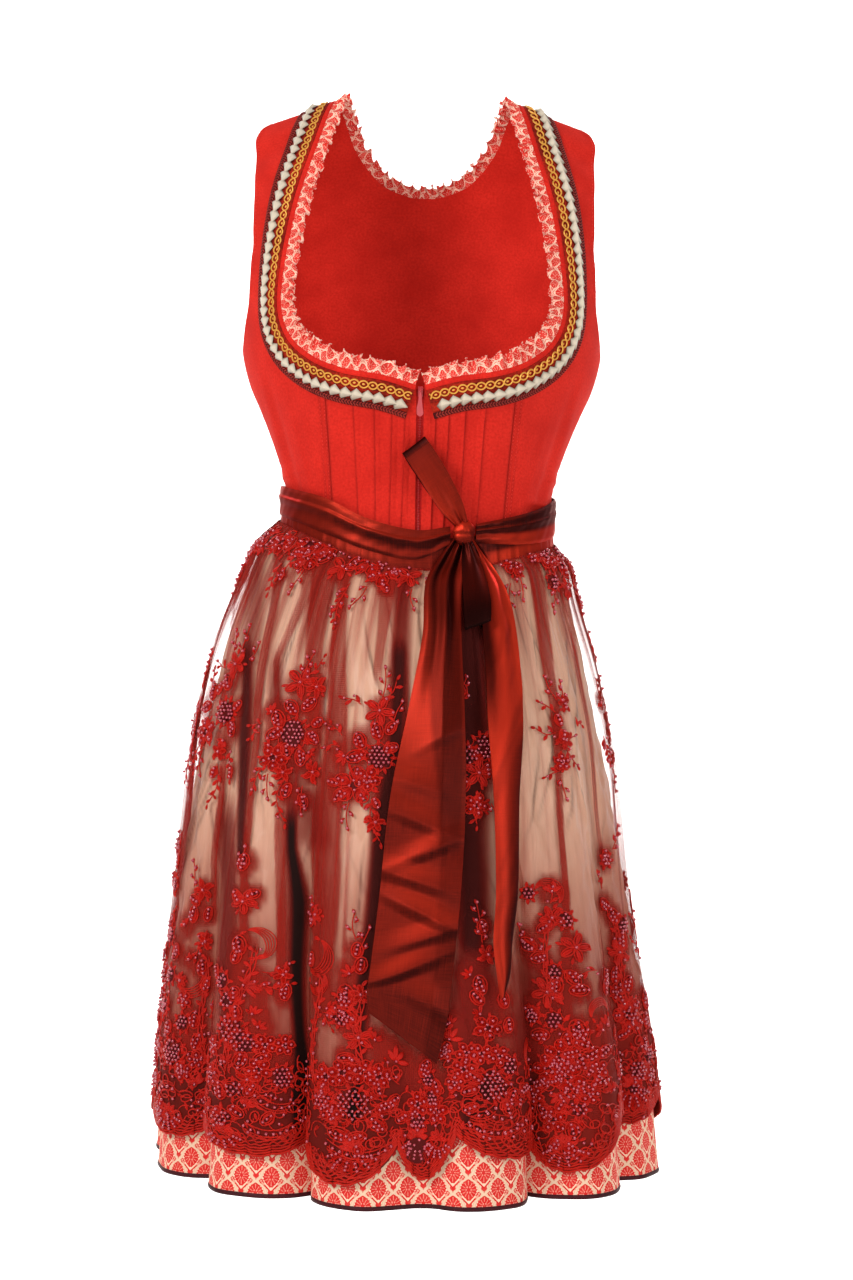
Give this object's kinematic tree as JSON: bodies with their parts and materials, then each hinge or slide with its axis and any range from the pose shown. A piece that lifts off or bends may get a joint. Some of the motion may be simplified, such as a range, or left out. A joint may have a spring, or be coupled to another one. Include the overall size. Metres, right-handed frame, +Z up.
{
  "type": "dirndl dress",
  "caption": "Red dirndl with a square U neckline edged in braid and ribbon, a damask-print skirt and a beaded lace apron with a taffeta sash, in its worn form",
  "frame": {"origin": "at the mount shoulders: midway between the two shoulder seams, level with their neck ends", "axes": "+Z runs up the wearer's body, -Y is the wearer's front, +X is the wearer's left"},
  "size_m": [0.4916, 0.4702, 1.0268],
  "materials": {
    "bodice_cloth": "matt plain-woven cotton and linen",
    "printed_cotton": "cotton with a red damask print on cream",
    "piping_cord": "dark burgundy piping",
    "chain_braid": "burgundy braid with mustard chain loops",
    "cream_ribbon": "folded zigzag ribbon",
    "gimp_braid": "burgundy gimp",
    "zip_tape": "woven zip tape",
    "zip_metal": "gloss red lacquer on metal",
    "satin": "beige satin",
    "lace": "red tulle with embroidery and beads",
    "taffeta": "wine-red changeant taffeta"
  },
  "bodies": {
    "dress": {"apron_lace": "lace", "apron_underlay": "satin", "apron_waistband": "taffeta", "bodice_back": "bodice_cloth", "bodice_front_left": "bodice_cloth", "bodice_front_right": "bodice_cloth", "bodice_side_left": "bodice_cloth", "bodice_side_right": "bodice_cloth", "bow_knot": "taffeta", "bow_loop_down": "taffeta", "bow_loop_up": "taffeta", "bow_tail_left": "taffeta", "bow_tail_right": "taffeta", "neck_binding": "bodice_cloth", "neck_chain_braid": "chain_braid", "neck_folded_ribbon": "cream_ribbon", "neck_frill": "printed_cotton", "neck_gimp": "gimp_braid", "sash_cross_back": "taffeta", "sash_left": "taffeta", "sash_right": "taffeta", "skirt": "printed_cotton", "skirt_piping": "piping_cord", "zip_slider": "zip_metal", "zip_tape": "zip_tape"},
    "zip_pull": {"zip_pull": "zip_metal"}
  },
  "joints": [
    {"name": "zip_pull_hinge", "type": "hinge", "parent": "dress", "child": "zip_pull", "pos_m": [0, -0.13021, -0.29446], "axis": [-1, 0, 0], "range_deg": [-15, 145]}
  ]
}
